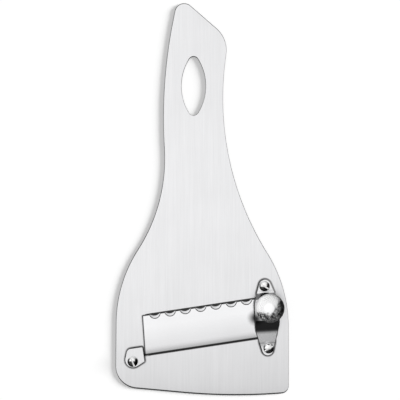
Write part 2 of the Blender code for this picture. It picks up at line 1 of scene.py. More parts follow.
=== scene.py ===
"""Looks of a hand-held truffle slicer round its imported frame, in metres. It lies on its back with +Z up: a
brushed plate with a handle, a scalloped blade over its window, a keeper, and a knurled knob on a bridge."""

import json
import math

import bmesh
import bpy
import numpy as np
from mathutils import Matrix, Vector
from mathutils.geometry import tessellate_polygon
from mathutils.kdtree import KDTree

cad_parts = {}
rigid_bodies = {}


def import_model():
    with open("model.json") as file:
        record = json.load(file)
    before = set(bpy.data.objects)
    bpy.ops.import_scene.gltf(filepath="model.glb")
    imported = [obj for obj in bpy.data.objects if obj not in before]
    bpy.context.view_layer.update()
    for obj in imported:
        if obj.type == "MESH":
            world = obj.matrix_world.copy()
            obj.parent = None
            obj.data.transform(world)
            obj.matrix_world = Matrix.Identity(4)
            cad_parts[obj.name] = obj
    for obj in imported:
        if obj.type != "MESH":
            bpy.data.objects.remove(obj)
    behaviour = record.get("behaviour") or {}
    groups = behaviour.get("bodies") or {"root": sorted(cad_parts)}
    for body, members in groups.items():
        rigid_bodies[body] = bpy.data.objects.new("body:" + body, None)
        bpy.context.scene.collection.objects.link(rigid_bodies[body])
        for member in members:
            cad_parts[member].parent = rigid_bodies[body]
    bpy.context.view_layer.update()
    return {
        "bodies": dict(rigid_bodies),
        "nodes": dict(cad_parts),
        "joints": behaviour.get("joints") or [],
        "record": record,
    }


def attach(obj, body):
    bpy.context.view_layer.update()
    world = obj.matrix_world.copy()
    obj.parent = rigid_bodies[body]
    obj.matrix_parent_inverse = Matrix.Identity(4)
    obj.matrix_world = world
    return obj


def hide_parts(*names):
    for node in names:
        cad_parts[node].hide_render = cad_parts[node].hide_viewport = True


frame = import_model()

MM = 0.001

# Clearances and the fineness of the curves
seat_gap = 0.2 * MM
running_gap = 0.3 * MM
thread_gap = 0.2 * MM
collar_gap = 0.15 * MM
overrun = 1.0 * MM
arc_tolerance = 0.002 * MM
repeat_distance = 0.0002 * MM
round_steps = 96
pin_steps = 48
rim_steps = 4
rim_segments = 3
mitre_limit = 0.5
level_normal = 0.99

# Plate and handle
plate_length = 204.2 * MM
plate_width = 90.1 * MM
plate_thickness = 1.5 * MM
# Rims are widest where the edge faces the front, so that the dark cut-edge colour, painted shade, makes a
# wider line there.
plate_rims = {"rim": 0.24 * MM, "right": 0.14 * MM, "rear": 0.42 * MM, "front": 0.85 * MM, "front_power": 2}
plate_back_rim = 0.3 * MM
hole_rims = {"rim": 0.17 * MM, "right": 0.17 * MM, "rear": 0.17 * MM, "front": 0.25 * MM, "front_power": 2}
plate_corner_shares = [
    (-0.278, 1.042, 0.055), (0.300, 0.820, 0.165), (0.120, 0.175, 1.687), (0.997, -0.446, 0.801),
    (1.000, -0.988, 0.047), (0.350, -1.010, 3.32), (-1.002, -0.956, 0.132), (-0.990, -0.428, 0.783),
    (-0.405, -0.020, 0.972), (-0.478, 0.605, 2.87),
]
eye_from_end = 43.1 * MM
eye_from_middle = -4.45 * MM
eye_width = 12.6 * MM
eye_side_radius = 26.5 * MM
eye_tip_radius = 2.7 * MM

# Blade, along (u) and across (v) its own slanted middle line
blade_from_end = 36.55 * MM
blade_from_middle = 3.75 * MM
blade_skew = math.radians(8.55)
blade_length = 69.3 * MM
blade_width = 20.6 * MM
blade_thickness = 0.8 * MM
blade_end_lean = math.radians(4.55)
blade_roll_radius = 12.0 * MM
blade_edge_bevel = 0.3 * MM
blade_edge_thickness = 0.2 * MM
tongue_length = 8.3 * MM
tongue_setback = 1.9 * MM
tongue_corner_radius = 1.2 * MM
slice_rest = 0.8 * MM
slice_least = 0.05 * MM
slice_most = 2.5 * MM
scallop_count = 7
scallop_pitch = 8.0 * MM
scallop_first = 7.6 * MM
scallop_face_radius = 3.05 * MM
scallop_edge_radius = 3.9 * MM
scallop_face_depth = 2.5 * MM
scallop_edge_depth = 0.95 * MM
scallop_overrun = 0.3 * MM
scallop_rows = 8
scallop_steps = 72
scallop_steep = math.radians(30)
pivot_pin_radius = 0.5 * MM
pivot_pin_length = 4.5 * MM
pivot_pin_root = 3.0 * MM

# Window
window_front_gap = 0.3 * MM
window_rear_ledge = 1.7 * MM
window_left_ledge = 1.8 * MM
window_right_ledge = 0.25 * MM
window_corner_radius = 1.5 * MM

# Keeper
keeper_gap = 0.35 * MM
keeper_reach = 6.2 * MM
keeper_rise = 6.7 * MM
keeper_behind_pin = 2.45 * MM
keeper_eye_radius = 4.2 * MM
keeper_back_radius = 2.5 * MM
keeper_corner_radius = 0.8 * MM
keeper_thickness = 1.8 * MM
keeper_rims = {"rim": 0.32 * MM, "right": 0.2 * MM, "rear": 0.10 * MM, "front": 0.5 * MM}
keeper_back_rim = 0.16 * MM
keeper_back_share = 0.32
keeper_foot_share = 0.2
keeper_eye_shares = (-1.76, -1.74)

# Bridge
bridge_from_blade_end = 4.65 * MM
bridge_lean = math.radians(3.8)
bridge_length = 39.95 * MM
bridge_width = 13.1 * MM
bridge_thickness = 1.0 * MM
bridge_bend_radius = 1.2 * MM
bridge_sweep_radius = 30.0 * MM
bridge_rim = 0.40 * MM
bridge_rim_reach = 1.1 * bridge_rim
bridge_screw_spacing = 32.26 * MM
bridge_ramp_clearance = 1.87 * MM
bridge_corner_shares = [
    (0.395, 0.4956, 0.270), (1.008, 0.2078, 0.460), (0.977, -0.0876, 0.900), (0.305, -0.5044, 0.258),
    (-0.458, -0.5044, 0.258), (-0.985, -0.1630, 0.700), (-0.962, 0.1900, 0.460), (-0.335, 0.4920, 0.270),
]
front_foot_bend = 12.35 * MM
front_shoulder_bend = 9.85 * MM
rear_shoulder_bend = -0.9 * MM
ramp_top_bend = -4.1 * MM
ramp_foot_bend = -13.6 * MM

# Screws
screw_radius = 1.5 * MM
screw_head_radius = 2.7 * MM
screw_head_height = 1.9 * MM
screw_head_side = 0.2 * MM
screw_head_rim = 0.12 * MM
screw_slot_width = 0.8 * MM
screw_slot_depth = 0.95 * MM
screw_slot_rim = 0.06 * MM
screw_end_recess = 0.2 * MM
screw_end_bevel = 0.3 * MM
screw_dome_rows = 14
keeper_slot_turn = math.radians(-69)
upper_slot_turn = math.radians(-33)
lower_slot_turn = math.radians(31)

# Spindle, bush, washers and clip
spindle_from_middle = 5.6 * MM
spindle_aside = 1.5 * MM
spindle_radius = 2.0 * MM
spindle_end_bevel = 0.3 * MM
thread_pitch = 0.7 * MM
thread_depth = 0.38 * MM
thread_rows_per_turn = 12
neck_radius = 1.2 * MM
neck_end_bevel = 0.15 * MM
neck_clearance = 0.4 * MM
groove_depth = 0.4 * MM
groove_gap = 0.1 * MM
spindle_tail = 0.3 * MM
washer_radius = 2.1 * MM
washer_thickness = 0.3 * MM
clip_radius = 2.0 * MM
clip_thickness = 0.5 * MM
clip_opening = math.radians(76)
bush_radius = 3.5 * MM
bush_flange_height = 1.4 * MM
bush_spigot_radius = 2.8 * MM
bush_proud = 0.25 * MM
ring_rim = 0.06 * MM

# Knob
knob_radius = 7.4 * MM
knob_height = 8.0 * MM
knob_foot_radius = 5.6 * MM
knob_foot_height = 0.9 * MM
knob_belt_height = 2.9 * MM
knob_band_height = 1.2 * MM
knob_bore_depth = 5.2 * MM
knurl_depth = 0.34 * MM
knurl_count = 30
knurl_steps = 16
knurl_dome_share = 0.75
knurl_top_share = 0.25
knurl_full_share = 0.55
knob_rows = 180

# Levels above the plate's back
plate_top = plate_thickness
blade_bottom = plate_top + slice_rest
blade_top = blade_bottom + blade_thickness
hinge_level = plate_top + running_gap + blade_thickness / 2
upper_washer_level = blade_top + running_gap
shoulder_level = upper_washer_level + washer_thickness + collar_gap
lower_washer_level = blade_bottom - running_gap - washer_thickness
clip_level = lower_washer_level - collar_gap - clip_thickness
spindle_end_level = clip_level - spindle_tail

# Places in the blade's frame
hinge_v = -blade_width / 2 + blade_thickness / 2
front_v = blade_width / 2
left_u = -blade_length / 2
right_u = blade_length / 2
keeper_edge_u = left_u - math.tan(blade_end_lean) * blade_width / 2 - keeper_gap
keeper_screw_u = keeper_edge_u - keeper_reach
keeper_screw_v = hinge_v - keeper_behind_pin
edge_arm = front_v - hinge_v
window_u = (left_u + window_left_ledge, right_u - window_right_ledge)
window_v = (-blade_width / 2 + window_rear_ledge, front_v + window_front_gap)

blade_frame = (
    Matrix.Translation((blade_from_middle, -plate_length / 2 + blade_from_end, 0))
    @ Matrix.Rotation(blade_skew, 4, "Z")
)
hinge_frame = blade_frame @ Matrix.Translation((0, hinge_v, hinge_level))
bridge_frame = (
    blade_frame
    @ Matrix.Translation((right_u - bridge_from_blade_end, 0, 0))
    @ Matrix.Rotation(bridge_lean - blade_skew, 4, "Z")
)
spindle_frame = Matrix.Translation(bridge_frame @ Vector((spindle_aside, spindle_from_middle, 0)))
keeper_eye = blade_frame @ Vector((keeper_screw_u, keeper_screw_v, 0))
ears = [bridge_frame @ Vector((0, side * bridge_screw_spacing / 2, 0)) for side in (1, -1)]
spindle_in_blade = blade_frame.inverted() @ spindle_frame.translation
spindle_arm = spindle_in_blade.y - hinge_v
lift_up = (slice_most - slice_rest) * spindle_arm / edge_arm
lift_down = (slice_rest - slice_least) * spindle_arm / edge_arm

bush_level = upper_washer_level + washer_thickness + lift_up + running_gap
plateau_bottom = bush_level + bush_flange_height + seat_gap
plateau_top = plateau_bottom + bridge_thickness
bush_top = plateau_top + bush_proud
knob_level = bush_top + lift_down + running_gap
foot_bottom = plate_top + seat_gap
foot_top = foot_bottom + bridge_thickness
ramp_bottom = blade_top + bridge_ramp_clearance
keeper_bottom = plate_top + seat_gap
keeper_top = keeper_bottom + keeper_thickness


# Plane geometry

origin = Vector((0, 0))


def unit(vector):
    return vector / vector.length


def arc(centre, radius, start, turn):
    step = 2 * math.acos(max(0, 1 - arc_tolerance / radius))
    count = max(4, math.ceil(abs(turn) / step))
    angles = [start + turn * i / count for i in range(count + 1)]
    return [centre + radius * Vector((math.cos(a), math.sin(a))) for a in angles]


def filleted(corners, closed=True):
    """A polygon or polyline of (point, radius) corners, each rounded by its radius, or by less where
    neighbouring fillets would meet."""
    count = len(corners)
    ends = () if closed else (0, count - 1)
    sides = []
    for i, (point, radius) in enumerate(corners):
        before = unit(corners[i - 1][0] - point)
        after = unit(corners[(i + 1) % count][0] - point)
        half_angle = before.angle(after) / 2
        reach = 0 if i in ends else radius / math.tan(half_angle)
        sides.append((before, after, half_angle, reach))
    points = []
    for i, (point, wanted) in enumerate(corners):
        before, after, half_angle, reach = sides[i]
        if not reach:
            points.append(point.copy())
            continue
        radius = wanted
        for j in (i - 1, (i + 1) % count):
            side = (corners[j][0] - point).length
            radius = min(radius, wanted * side / (reach + sides[j][-1]))
        centre = point + unit(before + after) * radius / math.sin(half_angle)
        start = point + before * radius / math.tan(half_angle) - centre
        end = point + after * radius / math.tan(half_angle) - centre
        turn = math.atan2(start.cross(end), start.dot(end))
        points += arc(centre, radius, math.atan2(start.y, start.x), turn)
    return without_repeats(points)


def without_repeats(points):
    return [p for i, p in enumerate(points) if (p - points[i - 1]).length > repeat_distance]


def circle(radius, centre=origin, steps=round_steps):
    angles = [2 * math.pi * i / steps for i in range(steps)]
    return [centre + radius * Vector((math.cos(a), math.sin(a))) for a in angles]


def lens(width, side_radius, tip_radius):
    """A pointed oval standing upright: two side arcs that run into two small round tips."""
    aside = side_radius - width / 2
    tip_centre = math.sqrt((side_radius - tip_radius) ** 2 - aside**2)
    spread = math.atan2(tip_centre, aside)
    tip_turn = math.pi - 2 * spread
    points = []
    for way, turned in ((1, 0), (-1, math.pi)):
        points += arc(Vector((-way * aside, 0)), side_radius, turned - spread, 2 * spread)
        points += arc(Vector((0, way * tip_centre)), tip_radius, turned + spread, tip_turn)
    return without_repeats(points)


def bulge(radius, height, level, start, end, steps):
    """(radius, height) points up the side of an ellipse, without its last point."""
    angles = [start + (end - start) * k / steps for k in range(steps)]
    return [(radius * math.cos(a), level + height * math.sin(a)) for a in angles]


def inward(points):
    """The steps that move a closed outline's points inwards by one, whichever way round it runs."""
    area = sum(points[i - 1].cross(p) for i, p in enumerate(points))
    side = 1 if area > 0 else -1
    steps = []
    for i, point in enumerate(points):
        before = unit(point - points[i - 1])
        after = unit(points[(i + 1) % len(points)] - point)
        along = unit(before + after)
        reach = side / max(mitre_limit, along.dot(before))
        steps.append(reach * Vector((-along.y, along.x)))
    return steps


def in_plane(points, matrix):
    return [(matrix @ p.to_3d()).to_2d() for p in points]


def rectangle(xs, ys):
    (left, right), (low, high) = xs, ys
    return [Vector((left, low)), Vector((right, low)), Vector((right, high)), Vector((left, high))]


def outlined(shares, x_unit, y_unit, radius_unit):
    """A filleted outline from (x, y, radius) shares."""
    return filleted([(Vector((x * x_unit, y * y_unit)), r * radius_unit) for x, y, r in shares])


def rims(rim, right, rear, front, front_power=1):
    """A rim's radius by the way that its edge faces."""
    def rim_at(outward):
        aside = (right - rim) * max(0, outward.x) + (rear - rim) * max(0, outward.y)
        return rim + aside + (front - rim) * max(0, -outward.y) ** front_power
    return rim_at


# Meshes

def add_mesh(name, verts, faces, place=None):
    mesh = bpy.data.meshes.new(name)
    mesh.from_pydata(verts, [], faces)
    if place is not None:
        mesh.transform(place)
    bm = bmesh.new()
    bm.from_mesh(mesh)
    bmesh.ops.recalc_face_normals(bm, faces=bm.faces)
    bm.to_mesh(mesh)
    bm.free()
    mesh.shade_smooth()
    obj = bpy.data.objects.new(name, mesh)
    bpy.context.scene.collection.objects.link(obj)
    return obj


def band(low, high):
    """The faces between two closed rows of equally many points."""
    return [(low[i - 1], low[i], high[i], high[i - 1]) for i in range(len(low))]


def sheet(name, outline, holes, bottom, top, back_rim, rim_at, hole_rim_at, place=None):
    """A flat sheet with an outline and holes, and quarter-round rims: one radius on the back, and on the
    face a radius by the way the cut edge faces. The cut edges take the second material."""
    verts, faces = [], []
    caps = ([], [])
    quarter = [math.pi / 2 * k / rim_steps for k in range(rim_steps + 1)]
    for k, loop in enumerate([outline] + holes):
        side = 1 if k == 0 else -1
        steps = [side * step for step in inward(loop)]
        radii = [(rim_at if k == 0 else hole_rim_at)(-unit(step)) for step in steps]
        levels = [(bottom, 1, a, [back_rim] * len(loop)) for a in quarter]
        levels += [(top, -1, a, radii) for a in quarter[::-1]]
        rows = []
        for level, up, angle, sizes in levels:
            rows.append(range(len(verts), len(verts) + len(loop)))
            for point, step, rim in zip(loop, steps, sizes):
                moved = point + step * rim * (1 - math.sin(angle))
                verts.append((moved.x, moved.y, level + up * rim * (1 - math.cos(angle))))
        for low, high in zip(rows, rows[1:]):
            faces += band(low, high)
        caps[0].append(rows[0])
        caps[1].append(rows[-1])
    edge_count = len(faces)
    for cap in caps:
        index = [i for row in cap for i in row]
        loops = [[Vector(verts[i]) for i in row] for row in cap]
        faces += [tuple(index[i] for i in triangle) for triangle in tessellate_polygon(loops)]
    obj = add_mesh(name, verts, faces, place)
    for _ in range(2):
        obj.data.materials.append(None)  # empty places, so that cuts keep the faces' indices
    for face in obj.data.polygons[:edge_count]:
        face.material_index = 1
    return obj


def loft(name, rings, place=None):
    """A closed solid through rings of equally many points, flat at its first and last ring."""
    count = len(rings[0])
    verts = [tuple(p) for ring in rings for p in ring]
    rows = [range(k * count, (k + 1) * count) for k in range(len(rings))]
    faces = [face for low, high in zip(rows, rows[1:]) for face in band(low, high)]
    return add_mesh(name, verts, faces + [tuple(rows[0]), tuple(rows[-1])], place)


def prism(name, points, bottom, top, place=None):
    return loft(name, [[(p.x, p.y, level) for p in points] for level in (bottom, top)], place)


def revolve(name, profile, place, steps=round_steps, relief=None, closed=False):
    """A body turned about Z from (radius, height) rows, pointed at both ends, or a ring if closed.
    What relief(row, angle) gives is taken off square to the profile, and kept as the attribute sunk."""
    verts, rows, sinks = [], [], []
    for k, (radius, height) in enumerate(profile):
        if not radius:
            rows.append([len(verts)] * steps)
            verts.append((0, 0, height))
            sinks.append(0)
            continue
        rows.append(list(range(len(verts), len(verts) + steps)))
        before, after = profile[k - 1], profile[(k + 1) % len(profile)]
        outward = unit(Vector((after[1] - before[1], before[0] - after[0])))
        for i in range(steps):
            angle = 2 * math.pi * i / steps
            sinks.append(relief(k, angle) if relief else 0)
            sunk = sinks[-1] * outward
            r = radius - sunk.x
            verts.append((r * math.cos(angle), r * math.sin(angle), height - sunk.y))
    pairs = list(zip(rows, rows[1:]))
    if closed:
        pairs.append((rows[-1], rows[0]))
    faces = [tuple(dict.fromkeys(corners)) for low, high in pairs for corners in band(low, high)]
    obj = add_mesh(name, verts, faces, place)
    if relief:
        obj.data.attributes.new("sunk", "FLOAT", "POINT").data.foreach_set("value", sinks)
    return obj


def cut(obj, cutter, operation="DIFFERENCE"):
    modifier = obj.modifiers.new(cutter.name, "BOOLEAN")
    modifier.operation = operation
    modifier.solver = "EXACT"
    modifier.object = cutter
    cutter.hide_render = True


def settle(obj, rim=0, rim_angle=math.radians(30), sharp_angle=None, flat_turn=None, clamped=True):
    """Applies the cuts, rounds sharp edges where asked, drops the cutters, and shades level faces flat."""
    cutters = [m.object for m in obj.modifiers]
    if rim:
        bevel = obj.modifiers.new("rims", "BEVEL")
        bevel.width = rim
        bevel.segments = rim_segments
        bevel.limit_method = "ANGLE"
        bevel.angle_limit = rim_angle
        bevel.miter_outer = "MITER_ARC"
        bevel.use_clamp_overlap = clamped
    graph = bpy.context.evaluated_depsgraph_get()
    mesh = bpy.data.meshes.new_from_object(obj.evaluated_get(graph))
    obj.modifiers.clear()
    old = obj.data
    obj.data = mesh
    bpy.data.meshes.remove(old)
    mesh.name = obj.name
    mesh.shade_smooth()
    if sharp_angle:
        mesh.set_sharp_from_angle(angle=sharp_angle)
    if flat_turn:
        for face in mesh.polygons:
            face.use_smooth = abs(face.normal.z) < math.cos(flat_turn)
    for cutter in cutters:
        bpy.data.objects.remove(cutter, do_unlink=True)


def even_normals(obj):
    """Keeps the flat faces flat in the shading, with the turn taken by the rims."""
    modifier = obj.modifiers.new("flat_faces", "WEIGHTED_NORMAL")
    modifier.keep_sharp = True
    modifier.weight = 100


def dress(obj, body, node, slot, *materials):
    indices = [face.material_index for face in obj.data.polygons]
    obj.data.materials.clear()
    for material in materials:
        obj.data.materials.append(material)
    obj.data.polygons.foreach_set("material_index", indices)
    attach(obj, body)
    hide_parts(node)


def mark_rims(obj, loop, reach, place):
    """Gives the faces along a cut edge the obj's second material."""
    points = []
    for i, point in enumerate(loop):
        count = math.ceil((point - loop[i - 1]).length / reach)
        points += [loop[i - 1].lerp(point, k / count) for k in range(count)]
    tree = KDTree(len(points))
    for i, point in enumerate(points):
        tree.insert(point.to_3d(), i)
    tree.balance()
    back = place.inverted()
    for face in obj.data.polygons:
        centre = (back @ face.center).to_2d()
        if tree.find(centre.to_3d())[2] < reach:
            face.material_index = 1


# Materials

noise_range = (0.3, 0.7)
patches_per_m = 45.0
patch_tone = 0.02
scratch_turn = 0.7
scratch_scales = (2600.0, 90.0, 90.0)
scratch_range = (0.70, 0.80)
scratch_depth_share = 0.8


class Nodes:
    """A short way to write a node tree. A new node comes back as its outputs."""

    def __init__(self, tree):
        self.tree = tree

    def add(self, kind, inputs=None, **settings):
        node = self.tree.nodes.new(kind)
        for key, value in settings.items():
            setattr(node, key, value)
        for key, value in (inputs or {}).items():
            self.give(node, key, value)
        return node.outputs

    def give(self, node, key, value):
        if isinstance(value, bpy.types.NodeSocket):
            self.tree.links.new(value, node.inputs[key])
        else:
            node.inputs[key].default_value = value

    def place(self):
        return self.add("ShaderNodeTexCoord")["Object"]

    def maths(self, operation, *values):
        return self.add("ShaderNodeMath", dict(enumerate(values)), operation=operation)[0]

    def product(self, first, *others):
        for other in others:
            first = self.maths("MULTIPLY", first, other)
        return first

    def vector(self, operation, *values, **named):
        outputs = self.add("ShaderNodeVectorMath", dict(enumerate(values)) | named, operation=operation)
        return outputs["Value" if operation in ("DISTANCE", "DOT_PRODUCT") else "Vector"]

    def mix(self, share, low, high):
        return self.add("ShaderNodeMix", {0: share, 2: low, 3: high}, data_type="FLOAT")[0]

    def spread(self, value, low, high, from_low=0.0, from_high=1.0, kind="LINEAR"):
        """The value's range mapped onto another and clamped."""
        inputs = dict(enumerate((value, from_low, from_high, low, high)))
        return self.add("ShaderNodeMapRange", inputs, interpolation_type=kind)["Result"]

    def noise(self, vector, scale=1.0, detail=2.0, roughness=0.5):
        inputs = {"Vector": vector, "Scale": scale, "Detail": detail, "Roughness": roughness}
        return self.add("ShaderNodeTexNoise", inputs)[0]

    def about(self, noise, middle, swing):
        """A noise's usual range, spread evenly to both sides of a middle value."""
        return self.spread(noise, middle - swing, middle + swing, *noise_range)


def new_material(name):
    material = bpy.data.materials.new(name)
    material.use_nodes = True
    return material, Nodes(material.node_tree)


def along_lines(nodes, turn, across_per_m, along_per_m):
    """Coordinates drawn out along one direction, at an angle from +Y, for brushing and grinding lines."""
    turned = nodes.add("ShaderNodeMapping", {"Vector": nodes.place(), "Rotation": (0, 0, -turn)})[0]
    return nodes.vector("MULTIPLY", turned, (across_per_m, along_per_m, across_per_m))


def away_from(nodes, centre):
    """The distance from an upright axis."""
    flat = nodes.vector("MULTIPLY", nodes.place(), (1, 1, 0))
    return nodes.vector("DISTANCE", flat, (centre[0], centre[1], 0))


def round_lines(nodes, axis, rings_per_m):
    """Coordinates by the height and the distance from an upright axis alone, for lathe marks."""
    height = nodes.add("ShaderNodeSeparateXYZ", {0: nodes.place()})["Z"]
    rings = nodes.add("ShaderNodeCombineXYZ", {"X": away_from(nodes, axis), "Z": height})[0]
    return nodes.vector("SCALE", rings, Scale=rings_per_m)


def brushed(turn, across_per_mm=5.0, along_per_mm=0.06):
    return lambda nodes: along_lines(nodes, turn, across_per_mm / MM, along_per_mm / MM)


def lathed(rings_per_mm, axis=spindle_frame.translation):
    return lambda nodes: round_lines(nodes, axis, rings_per_mm / MM)


def toned(nodes, frame, axis, stops):
    """A tone by the place along one axis of a frame, straight between (place, tone) stops."""
    row = frame.inverted()[axis]
    along = nodes.vector("DOT_PRODUCT", nodes.place(), row[:3])
    low, high = stops[0][0], stops[-1][0]
    share = nodes.spread(nodes.maths("ADD", along, row[3]), 0.0, 1.0, low, high)
    ramp = nodes.add("ShaderNodeValToRGB", {"Fac": share})["Color"]
    elements = ramp.node.color_ramp.elements
    elements.remove(elements[1])
    for k, (at, tone) in enumerate(stops):
        element = elements.new((at - low) / (high - low)) if k else elements[0]
        element.color = (tone, tone, tone, 1)
    return ramp


def shaded_within(nodes, u_range, v_range, fade, shade):
    """1, and the shade within a rectangle along the blade, with soft edges inside it."""
    tones = []
    for axis, (low, high) in enumerate((u_range, v_range)):
        stops = [(low - fade, 0), (low, 0), (low + fade, 1), (high - fade, 1), (high, 0), (high + fade, 0)]
        tones.append(toned(nodes, blade_frame, axis, stops))
    return nodes.spread(nodes.product(*tones), 1.0, shade)


def steel(name, colour, roughness, lines, line_tone=0.03, line_rough=0.05, scratch_tone=0.03,
          relief=0.004 * MM, tone_and_painted_shade=None, painted_contact_shade=None, bare=1.0, gloss=0.5):
    """Bare steel: fine lines, soft patches, stray scratches and slight relief, all from noise, and painted
    shade from ambient occlusion in the corners against its neighbours, as (reach, depth)."""
    material, nodes = new_material(name)
    place = nodes.place()
    fine = nodes.noise(lines(nodes), detail=3.0, roughness=0.6)
    broad = nodes.noise(place, patches_per_m)
    inputs = {"Vector": place, "Rotation": (0, 0, scratch_turn), "Scale": scratch_scales}
    stray = nodes.noise(nodes.add("ShaderNodeMapping", inputs)[0], detail=1.0, roughness=0.4)
    stray = nodes.spread(stray, 0.0, 1.0, *scratch_range)
    tones = [
        nodes.about(fine, 1, line_tone), nodes.about(broad, 1, patch_tone),
        nodes.spread(stray, 1.0, 1 - scratch_tone),
    ]
    # A tone given by the piece, mostly painted shade.
    if tone_and_painted_shade:
        tones.append(tone_and_painted_shade(nodes))
    # Painted shade: darker where ambient occlusion finds neighbouring pieces close by.
    if painted_contact_shade:
        open_share = nodes.add("ShaderNodeAmbientOcclusion", {"Distance": painted_contact_shade[0]})["AO"]
        tones.append(nodes.maths("POWER", open_share, painted_contact_shade[1]))
    tone = nodes.product(*tones)
    rough = (nodes.about(fine, roughness, line_rough), nodes.about(broad, 0, line_rough / 2))
    height = nodes.maths("SUBTRACT", fine, nodes.product(stray, scratch_depth_share))
    bump = nodes.add("ShaderNodeBump", {"Strength": 1.0, "Distance": relief, "Height": height})[0]
    for key, value in (
        ("Base Color", nodes.vector("SCALE", colour, Scale=tone)),
        ("Roughness", nodes.maths("ADD", *rough)),
        ("Metallic", bare),
        ("Specular IOR Level", gloss),
        ("Normal", bump),
    ):
        nodes.give(material.node_tree.nodes["Principled BSDF"], key, value)
    return material


def dull_steel(name, colour, tone_and_painted_shade=None):
    """A cut edge with next to no mirroring; the dark colours given to it are painted shade."""
    return steel(
        name, colour, 0.5, brushed(0, 3.0, 0.3), line_tone=0.02, line_rough=0.06, scratch_tone=0.02,
        tone_and_painted_shade=tone_and_painted_shade, bare=0.0, gloss=0.2,
    )


# Pieces

def plate_streaks_and_shade(nodes):
    """The plate's tone: painted shade that falls towards its front end, faint streaks, and a painted shadow
    line behind the blade.
    """
    streaks = nodes.noise(along_lines(nodes, 0, *streak_scales), roughness=0.6)
    return nodes.product(
        toned(nodes, Matrix.Identity(4), 1, plate_shade_tones), nodes.about(streaks, 1, streak_tone),
        shaded_within(nodes, rear_shadow_reach, rear_shadow, rear_shadow_fade, rear_shadow_tone),
    )


def make_plate():
    outline = outlined(plate_corner_shares, plate_width / 2, plate_length / 2, plate_width)
    xs = [p.x for p in outline]
    ys = [p.y for p in outline]
    middle = Vector((min(xs) + max(xs), min(ys) + max(ys))) / 2
    outline = [p - middle for p in outline]
    eye_place = Vector((eye_from_middle, plate_length / 2 - eye_from_end))
    eye = [p + eye_place for p in lens(eye_width, eye_side_radius, eye_tip_radius)]
    corners = [(p, window_corner_radius) for p in rectangle(window_u, window_v)]
    holes = [eye, in_plane(filleted(corners), blade_frame)]
    holes += [circle(screw_radius + thread_gap, place.to_2d()) for place in (keeper_eye, *ears)]
    plate = sheet(
        "steel_plate", outline, holes, 0, plate_thickness, plate_back_rim, rims(**plate_rims),
        rims(**hole_rims),
    )
    even_normals(plate)
    material = steel(
        "brushed_plate_steel", (0.82, 0.82, 0.83), 0.34, brushed(0), line_tone=0.022, line_rough=0.03,
        tone_and_painted_shade=plate_streaks_and_shade, painted_contact_shade=painted_contact_shade,
    )
    dress(plate, "slicer_body", "body_plate", "brushed_plate", material, cut_edge_shade)


def blade_section():
    """The blade's cross-section about its hinge: x across, y up, the rear edge rolled down."""
    half = blade_thickness / 2
    rise = blade_bottom + half - hinge_level
    bend = math.acos(1 - rise / blade_roll_radius)
    run = blade_roll_radius * math.sin(bend)
    roll_centre = Vector((run, rise - blade_roll_radius))
    quarter = math.pi / 2
    points = arc(roll_centre, blade_roll_radius + half, quarter, bend)
    points += arc(origin, half, quarter + bend, math.pi)[1:-1]
    points += arc(roll_centre, blade_roll_radius - half, quarter + bend, -bend)
    points.append(Vector((edge_arm, rise - half)))
    points.append(Vector((edge_arm, rise - half + blade_edge_thickness)))
    points.append(Vector((edge_arm - blade_edge_bevel, rise + half)))
    return without_repeats(points)


def end_cutter(name, end_u, outward, low, high):
    """What lies beyond a leaning end of the blade, the middle of that end being at end_u."""
    rear = -blade_thickness / 2 - overrun
    front = edge_arm + overrun
    lean = math.tan(blade_end_lean)
    beyond = end_u + outward * ((blade_width + overrun) * lean + overrun)
    corners = [
        Vector((beyond, rear)),
        Vector((end_u + lean * (rear + hinge_v), rear)),
        Vector((end_u + lean * (front + hinge_v), front)),
        Vector((beyond, front)),
    ]
    return prism(name, corners, low, high, hinge_frame)


def knob_shadow(nodes):
    """A painted shadow: a soft dark patch beside the bridge, under the knob's edge."""
    away = away_from(nodes, knob_shadow_place)
    return nodes.spread(away, knob_shadow_tone, 1.0, knob_shadow_core, knob_shadow_reach, "SMOOTHSTEP")


def blade_shade(nodes):
    """The blade's painted shade: a dark left end, a fall to a dark rear edge, and the knob's painted shadow.
    """
    leaning = blade_frame @ Matrix.Translation((left_u, 0, 0)) @ Matrix.Rotation(-blade_end_lean, 4, "Z")
    end = toned(nodes, leaning, 0, blade_end_shade_tones)
    return nodes.product(end, knob_shadow(nodes), toned(nodes, blade_frame, 1, blade_rear_shade_tones))


# The bridge's painted shade: dark bands across its bends and steep rises, and the knob's painted shadow.
def bridge_shade(nodes):
    return nodes.product(toned(nodes, bridge_frame, 1, bridge_shade_tones), knob_shadow(nodes))


def scallop_cutter(front):
    """The hollow grindings as one cutter, each a row of arcs that turns steep towards the blade's face."""
    edge, face = [
        Vector((level - hinge_level, edge_arm - depth + radius, radius)) for level, depth, radius in (
            (blade_bottom, scallop_edge_depth, scallop_edge_radius),
            (blade_top, scallop_face_depth, scallop_face_radius),
        )
    ]
    sections = []
    for row in range(scallop_rows + 1):
        up = row / scallop_rows
        level, centre, radius = edge.lerp(face, 1 - (1 - up) ** 2)
        sections.append((edge.x + (face.x - edge.x) * up, centre, radius))
    below = (sections[0][0] - scallop_overrun, *sections[0][1:])
    above = (sections[-1][0] + scallop_overrun, *sections[-1][1:])
    verts, faces = [], []
    for k in range(scallop_count):
        u = left_u + scallop_first + k * scallop_pitch
        rows = []
        for level, centre, radius in (below, *sections, above):
            lean = math.asin((centre - front) / radius)
            turn = math.pi - 2 * lean
            rows.append(range(len(verts), len(verts) + scallop_steps + 1))
            for i in range(scallop_steps + 1):
                angle = math.pi + lean + turn * i / scallop_steps
                verts.append((u + radius * math.cos(angle), centre + radius * math.sin(angle), level))
        for low, high in zip(rows, rows[1:]):
            faces += band(low, high)
        faces += [tuple(rows[0]), tuple(rows[-1])]
    return add_mesh("scallop_cutter", verts, faces, hinge_frame)


